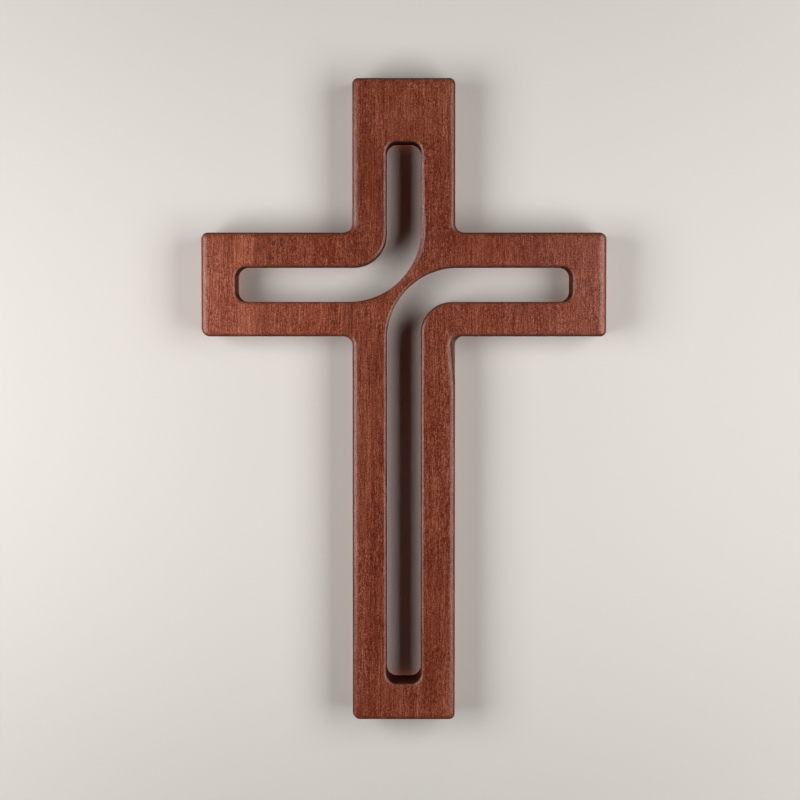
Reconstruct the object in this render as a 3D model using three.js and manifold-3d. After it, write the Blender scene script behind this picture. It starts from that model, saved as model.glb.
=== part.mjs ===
// Wooden wall cross, pierced by two bent slots and hung by a toothed steel strip.
// Millimetres, +Z up. The front faces -Y, and the back lies in the plane y = 0, towards the wall.
// The origin is on the back, at the root of the strip's middle notch, where the wall nail bears.

import * as THREE from "three";
import { mergeVertices } from "three/addons/utils/BufferGeometryUtils.js";
import Module from "manifold-3d";

// Outline of the cross
const overallHeight = 300;
const overallWidth = 188.8;
const panelThickness = 18;
const postWidth = 47.9;
const armHeight = 48.4;
const topToArmMiddle = 95.8;
const innerCornerRadius = 4.2;

// Outer corners, each eased by hand to a radius of its own
const topLeftRadius = 2.6;
const topRightRadius = 2.8;
const leftArmTopRadius = 3;
const leftArmUnderRadius = 4;
const rightArmTopRadius = 3.2;
const rightArmUnderRadius = 2.6;
const footLeftRadius = 3.5;
const footRightRadius = 1.9;

// The two through slots
const slotWidth = 16.2;
const topBlockHeight = 29.5;
const footHeight = 17;
const armEndWall = 15.8;
const bridgeThickness = 5.1;
const upperInnerBendRadius = 15.8;
const lowerInnerBendRadius = 14.8;
const slotEndRadius = 4.8;

// Edges, eased by hand: how far each runs over the face, and how far it drops down the wall
const frontRun = 2.7;
const frontDrop = 1.65;
const slotRun = 1.4;
const slotDrop = 0.85;
const backRound = 0.8;

// Flat that is sanded on the lower post's right side, deepest at the front under the arm
const sandedDepth = 2.3;
const sandedLength = 26;
const sandedReach = 8;

// Upright staves, glued edge to edge
const leftEndStaveWidth = 25;
const rightEndStaveWidth = 23.5;
const filletToGlueLine = 0.4;

// Toothed hanger strip on the back of the top block
const topToNotch = 16;
const hangerLength = 32;
const hangerHeight = 8;
const stripThickness = 0.8;
const hangerLift = 1.5;
const hangerEndLength = 6.2;
const hangerBendRun = 1.2;
const hangerBendRadius = 0.4;
const hangerCornerRadius = 1.2;
const toothPitch = 1.8;
const toothLand = 0.3;
const notchDepth = 1.2;

// Round-headed nails that hold the strip
const nailFromEnd = 3;
const nailShaftDiameter = 1.4;
const nailLength = 11;
const nailPointLength = 2;
const nailHeadDiameter = 3.8;
const nailHeadHeight = 0.9;
const nailHeadEdge = 0.3;
const nailClearance = 0.2;

// Facets
const frontEdgeSteps = 5;
const backRoundSteps = 3;
const nailSides = 16;
const headSteps = 5;
const stepsPerRootMillimetre = 2.4;
const cutOverrun = 1;
const smallestRadius = 0.05;

// Places that follow from the sizes
const top = topToNotch;
const bottom = top - overallHeight;
const armMiddle = top - topToArmMiddle;
const armTop = armMiddle + armHeight / 2;
const armUnderside = armMiddle - armHeight / 2;
const postSide = postWidth / 2;
const armEnd = overallWidth / 2;
const glueLineByPost = postSide + innerCornerRadius + filletToGlueLine;
const leftGlueLine = -armEnd + leftEndStaveWidth;
const rightGlueLine = armEnd - rightEndStaveWidth;
const hangerBottom = -notchDepth;
const hangerRaisedHalf = hangerLength / 2 - hangerEndLength - hangerBendRun;
const hangerOuterFace = hangerLift + stripThickness;
const nailX = hangerLength / 2 - nailFromEnd;
const nailZ = hangerBottom + hangerHeight / 2;
const pilotRadius = nailShaftDiameter / 2 + nailClearance;

// The outer bend's radius that leaves the slanted bridge its thickness between the two slots
const outerBendRadius = (() => {
  const sum = 2 * slotWidth + bridgeThickness;
  const product = slotWidth ** 2 / 2 - (bridgeThickness / 2) ** 2;
  return (sum + Math.sqrt(sum ** 2 - 4 * product)) / 2;
})();

// Turns a shape drawn on the cross's face, with its depth along +Z, to stand up with its depth along -Y
const standUp = new THREE.Matrix4().makeBasis(
  new THREE.Vector3(1, 0, 0),
  new THREE.Vector3(0, 0, 1),
  new THREE.Vector3(0, -1, 0),
);

// A corner of an outline, with the radius it is rounded to
function corner(x, y, radius) {
  const steps = Math.ceil(stepsPerRootMillimetre * Math.sqrt(radius));
  return { place: new THREE.Vector2(x, y), radius, steps };
}

// The cross seen from the front, anticlockwise, at a height above its back
function crossCorners(height) {
  const belowFront = panelThickness - height;
  const sanded = sandedDepth * Math.max(0, 1 - belowFront / sandedReach);
  return [
    corner(-postSide, bottom, footLeftRadius),
    corner(postSide, bottom, footRightRadius),
    corner(postSide, armUnderside - sandedLength, 0),
    corner(postSide - sanded, armUnderside, innerCornerRadius),
    corner(armEnd, armUnderside, rightArmUnderRadius),
    corner(armEnd, armTop, rightArmTopRadius),
    corner(postSide, armTop, innerCornerRadius),
    corner(postSide, top, topRightRadius),
    corner(-postSide, top, topLeftRadius),
    corner(-postSide, armTop, innerCornerRadius),
    corner(-armEnd, armTop, leftArmTopRadius),
    corner(-armEnd, armUnderside, leftArmUnderRadius),
    corner(-postSide, armUnderside, innerCornerRadius),
  ];
}

// A slot that comes down the upper post and bends into the left arm; a half turn gives the other slot.
function slotCorners(postReach, innerBendRadius, halfTurn) {
  const half = slotWidth / 2;
  const armReach = armEnd - armEndWall;
  const sign = halfTurn ? -1 : 1;
  return [
    [-armReach, -half, slotEndRadius],
    [half, -half, outerBendRadius],
    [half, postReach, slotEndRadius],
    [-half, postReach, slotEndRadius],
    [-half, half, innerBendRadius],
    [-armReach, half, slotEndRadius],
  ].map(([x, y, radius]) => corner(sign * x, armMiddle + sign * y, radius));
}

// The directions in which an outline reaches and leaves a corner, and the angle it turns there
function bendAt(corners, i) {
  const before = corners[(i + corners.length - 1) % corners.length].place;
  const after = corners[(i + 1) % corners.length].place;
  const arriving = corners[i].place.clone().sub(before).normalize();
  const leaving = after.clone().sub(corners[i].place).normalize();
  const turn = Math.atan2(arriving.cross(leaving), arriving.dot(leaving));
  return { arriving, leaving, turn };
}

// The outline moved inwards all round, or outwards where the inset is negative
function insetCorners(corners, inset) {
  return corners.map(({ place, radius, steps }, i) => {
    const { arriving, leaving, turn } = bendAt(corners, i);
    const reach = inset / (1 + arriving.dot(leaving));
    const moved = new THREE.Vector2(
      place.x - reach * (arriving.y + leaving.y),
      place.y + reach * (arriving.x + leaving.x),
    );
    const rounded = Math.max(radius - Math.sign(turn) * inset, smallestRadius);
    return { place: moved, radius: rounded, steps };
  });
}

// The outline's points, with an arc at each corner
function roundedOutline(corners) {
  return corners.flatMap(({ place, radius, steps }, i) => {
    if (steps === 0) return [place];
    const { arriving, turn } = bendAt(corners, i);
    const start = place.clone().addScaledVector(arriving, -radius * Math.tan(Math.abs(turn) / 2));
    const side = Math.sign(turn) * radius;
    const centre = new THREE.Vector2(start.x - side * arriving.y, start.y + side * arriving.x);
    const from = start.clone().sub(centre).angle();
    const arc = new THREE.ArcCurve(centre.x, centre.y, radius, from, from + turn, turn < 0);
    return arc.getPoints(steps);
  });
}

// Heights above the back, and the inset at each, where a wall's back and front edges are eased
function edgeLevels(run, drop) {
  const levels = [];
  for (let i = 0; i <= backRoundSteps; i++) {
    const angle = ((i / backRoundSteps) * Math.PI) / 2;
    levels.push({
      height: backRound * (1 - Math.cos(angle)),
      inset: backRound * (1 - Math.sin(angle)),
    });
  }
  for (let i = 0; i <= frontEdgeSteps; i++) {
    const angle = ((i / frontEdgeSteps) * Math.PI) / 2;
    levels.push({
      height: panelThickness - drop * (1 - Math.sin(angle)),
      inset: run * (1 - Math.cos(angle)),
    });
  }
  return levels;
}

// The outer wall's levels, with one more where the sanded flat ends
function outerLevels() {
  const end = { height: panelThickness - sandedReach, inset: 0 };
  return [...edgeLevels(frontRun, frontDrop), end].sort((a, b) => a.height - b.height);
}

// The cross's outer wall or a slot's wall as rings of points from back to front
function wallRings(cornersAt, levels, isSlot) {
  return levels.map(({ height, inset }) => {
    const corners = insetCorners(cornersAt(height), isSlot ? -inset : inset);
    const outline = roundedOutline(corners);
    const points = isSlot ? outline.reverse() : outline;
    return points.map((point) => new THREE.Vector3(point.x, point.y, height));
  });
}

// A plate whose walls are rings of points, the outer wall first and then the slots, closed at back and front
function plateGeometry(walls) {
  const points = [];
  const faces = [];
  const back = [];
  const front = [];
  for (const rings of walls) {
    const count = rings[0].length;
    const first = points.length;
    const last = first + count * (rings.length - 1);
    rings.forEach((ring) => points.push(...ring));
    for (let ring = first; ring < last; ring += count) {
      for (let i = 0; i < count; i++) {
        const next = (i + 1) % count;
        const a = ring + i;
        const b = ring + next;
        faces.push([a, b, b + count], [a, b + count, a + count]);
      }
    }
    back.push(rings[0].map((_, i) => first + i));
    front.push(rings[0].map((_, i) => last + i));
  }
  const capFaces = (loops) => {
    const outlines = loops.map((loop) => loop.map((i) => new THREE.Vector2(points[i].x, points[i].y)));
    const order = loops.flat();
    const found = THREE.ShapeUtils.triangulateShape(outlines[0], outlines.slice(1));
    return found.map((face) => face.map((i) => order[i]));
  };
  faces.push(...capFaces(front));
  faces.push(...capFaces(back).map((face) => face.reverse()));
  const geometry = new THREE.BufferGeometry().setFromPoints(points);
  return geometry.setIndex(faces.flat());
}

const wasm = await Module();
wasm.setup();

// A closed geometry as a solid for cutting and joining
function solidOf(geometry) {
  const bare = geometry.clone();
  bare.deleteAttribute("normal");
  bare.deleteAttribute("uv");
  const merged = mergeVertices(bare);
  return new wasm.Manifold(
    new wasm.Mesh({
      numProp: 3,
      vertProperties: merged.attributes.position.array,
      triVerts: new Uint32Array(merged.index.array),
    }),
  );
}

// A solid back as a geometry, with flat-shaded facets
function geometryOf(solid) {
  const { vertProperties, triVerts } = solid.getMesh();
  const indexed = new THREE.BufferGeometry();
  indexed.setAttribute("position", new THREE.BufferAttribute(vertProperties, 3));
  indexed.setIndex(new THREE.BufferAttribute(triVerts, 1));
  const geometry = indexed.toNonIndexed();
  geometry.computeVertexNormals();
  return geometry;
}

const cross = new THREE.Group();
cross.name = "wall_cross";

function addPiece(name, geometry, material) {
  const piece = new THREE.Mesh(geometry, material);
  piece.name = name;
  cross.add(piece);
  return piece;
}

// The whole panel, before it is parted along its glue lines
function panelSolid() {
  const upperSlot = slotCorners(top - topBlockHeight - armMiddle, upperInnerBendRadius, false);
  const lowerSlot = slotCorners(armMiddle - bottom - footHeight, lowerInnerBendRadius, true);
  const slotLevels = edgeLevels(slotRun, slotDrop);
  const walls = [
    wallRings(crossCorners, outerLevels(), false),
    wallRings(() => upperSlot, slotLevels, true),
    wallRings(() => lowerSlot, slotLevels, true),
  ];
  return solidOf(plateGeometry(walls).applyMatrix4(standUp));
}

// The part of the panel between two upright glue lines and two heights
function partOfPanel(panel, left, right, low, high) {
  const depth = panelThickness + 2 * cutOverrun;
  const block = new THREE.BoxGeometry(right - left, depth, high - low);
  block.translate((left + right) / 2, -panelThickness / 2, (low + high) / 2);
  return panel.intersect(solidOf(block));
}

// A round hole from the back into the wood, for a nail
function pilotHole(x) {
  const depth = nailLength + cutOverrun;
  const drill = new THREE.CylinderGeometry(pilotRadius, pilotRadius, depth + cutOverrun, nailSides);
  return solidOf(drill.translate(x, (cutOverrun - depth) / 2, nailZ));
}

function stainedWood(colour) {
  return new THREE.MeshStandardMaterial({ color: colour, roughness: 0.48, metalness: 0 });
}

function steel() {
  return new THREE.MeshStandardMaterial({ color: 0xb4b6b8, roughness: 0.34, metalness: 1 });
}

// The seven staves of the panel
function addStaves() {
  const panel = panelSolid();
  const outside = armEnd + cutOverrun;
  const above = top + cutOverrun;
  const below = bottom - cutOverrun;
  const post = partOfPanel(panel, -glueLineByPost, glueLineByPost, below, above)
    .subtract(pilotHole(-nailX))
    .subtract(pilotHole(nailX));
  addPiece("post_stave", geometryOf(post), stainedWood(0x7a3f2d));

  const others = [
    ["left_upper_rail", leftGlueLine, -glueLineByPost, armMiddle, above, 0x7c402e],
    ["left_lower_rail", leftGlueLine, -glueLineByPost, below, armMiddle, 0x824732],
    ["left_end_stave", -outside, leftGlueLine, below, above, 0x8a4e39],
    ["right_upper_rail", glueLineByPost, rightGlueLine, armMiddle, above, 0x7a3f2e],
    ["right_lower_rail", glueLineByPost, rightGlueLine, below, armMiddle, 0x793e2d],
    ["right_end_stave", rightGlueLine, outside, below, above, 0x7f4331],
  ];
  for (const [name, left, right, low, high, colour] of others) {
    const stave = partOfPanel(panel, left, right, low, high);
    addPiece(name, geometryOf(stave), stainedWood(colour));
  }
}

// The strip seen from above: its ends lie on the wood, and its middle is bowed away from it
function hangerPlan() {
  const end = hangerLength / 2;
  const bend = end - hangerEndLength;
  const mitre = stripThickness * Math.tan(Math.atan2(hangerLift, hangerBendRun) / 2);
  const inside = hangerBendRadius;
  const outside = hangerBendRadius + stripThickness;
  const rightHalf = [
    [hangerRaisedHalf, hangerLift, inside],
    [bend, 0, outside],
    [end, 0, 0],
    [end, stripThickness, 0],
    [bend + mitre, stripThickness, inside],
    [hangerRaisedHalf + mitre, hangerOuterFace, outside],
  ];
  const leftHalf = rightHalf.map(([x, y, radius]) => [-x, y, radius]).reverse();
  const corners = [...rightHalf, ...leftHalf].map(([x, y, radius]) => corner(x, y, radius));
  return new THREE.Shape(roundedOutline(corners));
}

// The strip's outline seen from behind, with its four corners rounded, cut deep enough to trim the strip
function hangerOutline() {
  const end = hangerLength / 2;
  const corners = [
    [-end, hangerBottom],
    [end, hangerBottom],
    [end, hangerBottom + hangerHeight],
    [-end, hangerBottom + hangerHeight],
  ].map(([x, z]) => corner(x, z, hangerCornerRadius));
  const depth = hangerOuterFace + 2 * cutOverrun;
  const plate = new THREE.ExtrudeGeometry(new THREE.Shape(roundedOutline(corners)), {
    depth,
    bevelEnabled: false,
  });
  return solidOf(plate.applyMatrix4(standUp).translate(0, depth - cutOverrun, 0));
}

// A V notch in the strip's lower edge, cut right through the strip
function notchCutter(x) {
  const halfWidth = (toothPitch - toothLand) / 2;
  const overrun = 1 + cutOverrun / notchDepth;
  const notch = new THREE.Shape();
  notch.moveTo(x, 0);
  notch.lineTo(x - halfWidth * overrun, -notchDepth * overrun);
  notch.lineTo(x + halfWidth * overrun, -notchDepth * overrun);
  const depth = hangerOuterFace + 2 * cutOverrun;
  const cutter = new THREE.ExtrudeGeometry(notch, { depth, bevelEnabled: false });
  return solidOf(cutter.applyMatrix4(standUp).translate(0, depth - cutOverrun, 0));
}

function addHanger() {
  const strip = new THREE.ExtrudeGeometry(hangerPlan(), { depth: hangerHeight, bevelEnabled: false });
  let hanger = solidOf(strip.translate(0, 0, hangerBottom)).intersect(hangerOutline());
  const notchesEachSide = Math.floor(hangerRaisedHalf / toothPitch - 1 / 2);
  for (let i = -notchesEachSide; i <= notchesEachSide; i++) {
    hanger = hanger.subtract(notchCutter(i * toothPitch));
  }
  for (const x of [-nailX, nailX]) {
    const length = stripThickness + 2 * cutOverrun;
    const punch = new THREE.CylinderGeometry(pilotRadius, pilotRadius, length, nailSides);
    hanger = hanger.subtract(solidOf(punch.translate(x, stripThickness / 2, nailZ)));
  }
  addPiece("sawtooth_hanger", geometryOf(hanger), steel());
}

// A round-headed nail along Y: its point in the wood, and its head's flat underside on the strip
function nailGeometry() {
  const shaft = nailShaftDiameter / 2;
  const head = nailHeadDiameter / 2;
  const profile = [new THREE.Vector2(0, -nailLength)];
  profile.push(new THREE.Vector2(shaft, nailPointLength - nailLength));
  profile.push(new THREE.Vector2(shaft, stripThickness));
  profile.push(new THREE.Vector2(head, stripThickness));
  const dome = nailHeadHeight - nailHeadEdge;
  for (let i = 0; i < headSteps; i++) {
    const angle = ((i / headSteps) * Math.PI) / 2;
    const height = stripThickness + nailHeadEdge + dome * Math.sin(angle);
    profile.push(new THREE.Vector2(head * Math.cos(angle), height));
  }
  profile.push(new THREE.Vector2(0, stripThickness + nailHeadHeight));
  return new THREE.LatheGeometry(profile, nailSides);
}

function addNails() {
  for (const [name, x] of [["hanger_nail_left", -nailX], ["hanger_nail_right", nailX]]) {
    const nail = addPiece(name, nailGeometry(), steel());
    nail.position.set(x, 0, nailZ);
  }
}

addStaves();
addHanger();
addNails();

export default cross;
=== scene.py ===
"""The wooden wall cross: stained staves with two bent slots, a toothed steel hanger, and a pale stage."""
import math
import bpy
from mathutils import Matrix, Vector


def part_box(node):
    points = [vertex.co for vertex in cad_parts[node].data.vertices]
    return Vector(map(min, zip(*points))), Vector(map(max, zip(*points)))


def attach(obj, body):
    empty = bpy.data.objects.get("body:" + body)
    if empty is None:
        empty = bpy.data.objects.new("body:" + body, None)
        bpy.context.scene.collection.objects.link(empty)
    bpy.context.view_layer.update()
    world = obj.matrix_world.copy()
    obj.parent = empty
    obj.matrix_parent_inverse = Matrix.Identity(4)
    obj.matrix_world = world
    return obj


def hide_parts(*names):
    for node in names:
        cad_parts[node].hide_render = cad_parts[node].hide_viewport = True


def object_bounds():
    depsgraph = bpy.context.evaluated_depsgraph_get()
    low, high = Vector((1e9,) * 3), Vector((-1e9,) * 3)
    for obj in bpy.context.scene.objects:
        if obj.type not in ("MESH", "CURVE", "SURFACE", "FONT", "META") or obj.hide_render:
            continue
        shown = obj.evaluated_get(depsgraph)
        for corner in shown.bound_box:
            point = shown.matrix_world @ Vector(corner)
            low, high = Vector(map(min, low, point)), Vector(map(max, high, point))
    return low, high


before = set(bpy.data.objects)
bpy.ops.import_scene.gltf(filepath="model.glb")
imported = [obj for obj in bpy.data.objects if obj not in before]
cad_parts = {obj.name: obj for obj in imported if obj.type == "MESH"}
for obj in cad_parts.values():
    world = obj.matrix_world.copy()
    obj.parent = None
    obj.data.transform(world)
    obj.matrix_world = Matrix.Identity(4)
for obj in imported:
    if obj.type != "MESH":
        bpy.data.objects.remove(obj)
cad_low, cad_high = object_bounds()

from types import SimpleNamespace

import bmesh
import bpy
from mathutils import Vector

bl_info = {
    "name": "Wooden wall cross",
    "version": (1, 0, 0),
    "blender": (4, 5, 0),
    "location": "3D Viewport > Sidebar > Wall Cross",
    "description": "Builds a pierced wooden wall cross with its steel hanger, and a plain stage for it",
    "category": "Add Mesh",
}

MM = 0.001
BODY = "root"
ACROSS, UP = Vector((1, 0, 0)), Vector((0, 0, 1))
# Points closer than this are on one place
ON_PLACE = 0.02 * MM
# A face is square to an axis from this share of its normal on it, and a wall up to these shares on Y
SQUARE_TO, WALL_TO, SLOT_WALL_TO = 0.9, 0.5, 0.55
# Segments of the corners, of the slots' bends and of the eased edges
CORNER_STEPS, OUTER_BEND_STEPS, INNER_BEND_STEPS = 12, 40, 24
BACK_STEPS, FRONT_STEPS, SLOT_STEPS = 4, 12, 8
# Sides of the drilled holes and of the nails
HOLE_SIDES, NAIL_SIDES = 32, 40
# Edges that turn by fewer degrees than this are shaded smooth
WOOD_SMOOTH, STEEL_SMOOTH = 32, 40
# Bevel profiles: a quarter ellipse, and a flatter one
ROUND, FLATTER = 0.5, 0.36
# How far in from the post's sides the slots' surroundings end, and over what the easing fades at the flat
SLOT_MARGIN, FLAT_FADE = 7 * MM, 6 * MM

post_low, post_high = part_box("post_stave")
strip_low, strip_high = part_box("sawtooth_hanger")
nail_low, nail_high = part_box("hanger_nail_right")
nail_centre = (nail_low + nail_high) / 2
arm_top, arm_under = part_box("left_upper_rail")[1].z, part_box("left_lower_rail")[0].z
arm_middle = (arm_top + arm_under) / 2
glue_lines = (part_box("left_end_stave")[1].x, post_low.x, post_high.x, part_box("right_end_stave")[0].x)


def number(name, description, default, **options):
    return bpy.props.FloatProperty(name=name, description=description, default=default, min=0, **options)


def length(name, description, default):
    """A size in metres, shown in the scene's own units."""
    return number(name, description, default, unit="LENGTH", precision=5)


def colour(name, description, default):
    return bpy.props.FloatVectorProperty(
        name=name, description=description, default=default, size=3, min=0, max=1, subtype="COLOR"
    )


def angle(name, description, degrees):
    return bpy.props.FloatProperty(
        name=name, description=description, default=math.radians(degrees), subtype="ANGLE"
    )


class CrossSizes(bpy.types.PropertyGroup):
    post_width: length("Post width", "Width of the upright post", 47.9 * MM)
    sanded_depth: length("Sanded depth", "Depth of the flat sanded in under the right arm", 2.3 * MM)
    sanded_length: length("Sanded length", "How far the sanded flat runs down the post", 26 * MM)
    sanded_reach: length("Sanded reach", "How far back from the front the sanded flat goes", 8 * MM)
    inner_corner: length("Inner corner radius", "Fillets between post and arms", 4.2 * MM)
    top_left: length("Top left radius", "Outer corner of the upper post", 2.6 * MM)
    top_right: length("Top right radius", "Outer corner of the upper post", 2.8 * MM)
    left_arm_top: length("Left arm top radius", "Upper corner of the left arm's end", 3 * MM)
    left_arm_under: length("Left arm under radius", "Lower corner of the left arm's end", 4 * MM)
    right_arm_top: length("Right arm top radius", "Upper corner of the right arm's end", 3.2 * MM)
    right_arm_under: length("Right arm under radius", "Lower corner of the right arm's end", 2.6 * MM)
    foot_left: length("Foot left radius", "Lower left corner of the post", 3.5 * MM)
    foot_right: length("Foot right radius", "Lower right corner of the post", 1.9 * MM)
    slot_width: length("Slot width", "Width of both slots", 16.2 * MM)
    top_block: length("Top block height", "Wood above the upper slot", 29.5 * MM)
    foot: length("Foot height", "Wood below the lower slot", 17 * MM)
    end_wall: length("End wall", "Wood past the slots at the arm ends", 15.8 * MM)
    bridge: length("Bridge thickness", "The slanted bridge between the two slots", 5.1 * MM)
    upper_bend: length("Upper inner bend radius", "The tight side of the upper slot's bend", 15.8 * MM)
    lower_bend: length("Lower inner bend radius", "The tight side of the lower slot's bend", 14.8 * MM)
    slot_end: length("Slot end radius", "Corners at the slots' ends", 4.8 * MM)
    edge_run: length("Front edge run", "How far the outer edges' easing reaches over the face", 2.7 * MM)
    edge_drop: length("Front edge drop", "How far the outer edges' easing goes down the wall", 1.65 * MM)
    upper_slot_run: length("Upper slot edge run", "How far its edges' easing reaches over the face", 1.5 * MM)
    lower_slot_run: length("Lower slot edge run", "How far its edges' easing reaches over the face", 1.4 * MM)
    slot_drop: length("Slot edge drop", "How far the slot edges' easing goes down the wall", 0.75 * MM)
    back_edge: length("Back edge radius", "Round-over of the back edges", 0.8 * MM)
    upper_left_extra: length("Upper left extra run", "Wider easing on the upper post's left edge", 2 * MM)
    lower_left_extra: length("Lower left extra run", "Wider easing on the lower left edge", 0.7 * MM)
    lower_right_extra: length("Lower right extra run", "Wider easing on the lower right edge", 0.9 * MM)
    left_end_extra: length("Left end extra run", "Wider easing on the left arm's end", 0.4 * MM)
    right_end_extra: length("Right end extra run", "Wider easing on the right arm's end", 0.9 * MM)
    bend_run: length("Bend easing run", "Wider easing outside the upper slot's bend", 2.35 * MM)


class HangerSizes(bpy.types.PropertyGroup):
    thickness: length("Strip thickness", "Sheet that the hanger is stamped from", 0.8 * MM)
    end_length: length("End length", "Each flat end that lies on the wood", 6.2 * MM)
    bend_run: length("Bend run", "Length over which the strip rises off the wood", 1.2 * MM)
    bend_radius: length("Bend radius", "Inner radius of the strip's bends", 0.4 * MM)
    corner: length("Corner radius", "Corners of the strip's ends", 1.2 * MM)
    tooth_pitch: length("Tooth pitch", "Distance from notch to notch", 1.8 * MM)
    tooth_land: length("Tooth land", "Flat left on each tooth's tip", 0.3 * MM)
    notch_depth: length("Notch depth", "Depth of the notches", 1.2 * MM)
    hole: length("Hole", "Diameter of the strip's nail holes", 1.8 * MM)
    burr: length("Edge easing", "Small round-over left by stamping and tumbling", 0.12 * MM)
    shaft: length("Nail shaft", "Diameter of the nails' shafts", 1.4 * MM)
    point: length("Nail point", "Length of the nails' points", 2 * MM)
    head_edge: length("Nail head edge", "Height of the heads' straight rim", 0.3 * MM)


class CrossStage(bpy.types.PropertyGroup):
    wall: colour("Wall colour", "The pale wall behind the cross", (0.78, 0.74, 0.69))
    bounce: colour("Wall bounce", "What the wall gives back to the wood", (0.30, 0.21, 0.14))
    camera_distance: length("Camera distance", "From the cross's face to the camera", 0.715)
    camera_height: length("Camera drop", "How far the camera is below the top of the cross", 0.1052)
    camera_tilt: angle("Camera tilt", "How far the camera looks down", 1.8)
    camera_pan: angle("Camera pan", "How far the camera looks to the left", 0.142)
    camera_shift: number("Camera shift", "How far the view is moved down, as a share of its width", 0.0588)
    lens: number("Lens", "Focal length in millimetres", 69.1)
    lamp_power: number("Lamp power", "Power of each lamp in front", 1.86, unit="POWER")


def pick(piece):
    """Makes one piece the active one, with nothing else selected."""
    bpy.ops.object.select_all(action="DESELECT")
    piece.select_set(True)
    bpy.context.view_layer.objects.active = piece


def edit(piece):
    """Opens one piece in edit mode."""
    pick(piece)
    bpy.ops.object.mode_set(mode="EDIT")


def leave_edit():
    bpy.ops.object.mode_set(mode="OBJECT")


def apply_modifier(piece, kind, **settings):
    """Adds a modifier to a piece and applies it."""
    pick(piece)
    modifier = piece.modifiers.new(kind, kind)
    for key, value in settings.items():
        setattr(modifier, key, value)
    bpy.ops.object.modifier_apply(modifier=modifier.name)


def select(piece, kind, test):
    """Selects the parts of one kind that pass a test, in edit mode."""
    bpy.ops.mesh.select_mode(type=kind)
    bpy.ops.mesh.select_all(action="DESELECT")
    mesh = bmesh.from_edit_mesh(piece.data)
    mesh.normal_update()
    for part in {"VERT": mesh.verts, "EDGE": mesh.edges, "FACE": mesh.faces}[kind]:
        part.select_set(test(part))
    mesh.select_flush_mode()
    bmesh.update_edit_mesh(piece.data)


def select_edges(piece, test):
    select(piece, "EDGE", test)


def select_faces(piece, test):
    select(piece, "FACE", test)


def select_points(piece, test):
    """Selects the points whose place passes a test, in edit mode."""
    select(piece, "VERT", lambda point: test(point.co))


def select_all():
    bpy.ops.mesh.select_all(action="SELECT")


def near(point):
    """A test for the mesh points at one place."""
    return lambda place: (place - point).length < ON_PLACE


def move(x=0.0, y=0.0, z=0.0):
    bpy.ops.transform.translate(value=(x, y, z))


def stretch(value, about):
    bpy.ops.transform.resize(value=value, center_override=about)


def cut(axis, place, **options):
    """Adds edges where the whole mesh meets the plane square to an axis at a place, or parts it there."""
    select_all()
    bpy.ops.mesh.bisect(plane_co=axis * place, plane_no=axis, **options)


def extrude(x=0.0, y=0.0, z=0.0):
    bpy.ops.mesh.extrude_region_move(TRANSFORM_OT_translate={"value": (x, y, z)})


def merge_flat_faces():
    """Dissolves the lines that lie on flat faces."""
    select_all()
    bpy.ops.mesh.dissolve_limited(angle_limit=math.radians(1))


def block(name, low, high):
    """A plain block between two corners, with its object at the origin."""
    low, high = Vector(low), Vector(high)
    bpy.ops.object.select_all(action="DESELECT")
    bpy.ops.mesh.primitive_cube_add(size=1, location=(low + high) / 2, scale=high - low)
    piece = bpy.context.object
    piece.name = name
    piece.data.name = name
    bpy.ops.object.transform_apply(location=True, rotation=True, scale=True)
    return piece


def bevel(offset, segments, profile=ROUND):
    bpy.ops.mesh.bevel(
        offset_type="OFFSET", offset=offset, segments=segments, profile=profile, affect="EDGES",
        clamp_overlap=False,
    )


def round_upright_edges(piece, x, z, radius, segments=CORNER_STEPS, reach=0.0):
    """Rounds the edge that runs from back to front at one corner of an outline, or within reach of it."""
    select_edges(
        piece, lambda edge: all(math.hypot(p.co.x - x, p.co.z - z) <= reach + ON_PLACE for p in edge.verts)
    )
    bevel(radius, segments)


def wall_edges_on(y, within):
    """A test for the edges where a wall meets the plane at a depth, in some part of the outline.

    A face without area has a normal without length, and is taken for no wall.
    """

    def passes(edge):
        if any(abs(p.co.y - y) > ON_PLACE or not within(p.co) for p in edge.verts):
            return False
        walls = [face for face in edge.link_faces if abs(face.normal.y) < WALL_TO < face.normal.length]
        flats = [face for face in edge.link_faces if abs(face.normal.y) > SQUARE_TO]
        return bool(walls and flats)

    return passes


def ease_edges(piece, y, run, drop, segments, profile=ROUND, within=lambda point: True):
    """Eases the edges of one face: a run over the face and a drop down the wall."""
    flatness = run / drop
    select_all()
    stretch((1, flatness, 1), (0, 0, 0))
    select_edges(piece, wall_edges_on(y * flatness, within))
    bevel(run, segments, profile)
    select_all()
    stretch((1, 1 / flatness, 1), (0, 0, 0))


def places(sizes):
    """The lines of the cross that its sizes give, in metres."""
    half_slot = sizes.slot_width / 2
    total = 4 * half_slot + sizes.bridge
    product = 2 * half_slot ** 2 - (sizes.bridge / 2) ** 2
    return SimpleNamespace(
        top=cad_high.z, bottom=cad_low.z, front=cad_low.y, arm_end=cad_high.x,
        post_side=sizes.post_width / 2, half_slot=half_slot, sanded_from=arm_under - sizes.sanded_length,
        outer_bend=(total + math.sqrt(total ** 2 - 4 * product)) / 2,
    )


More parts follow.
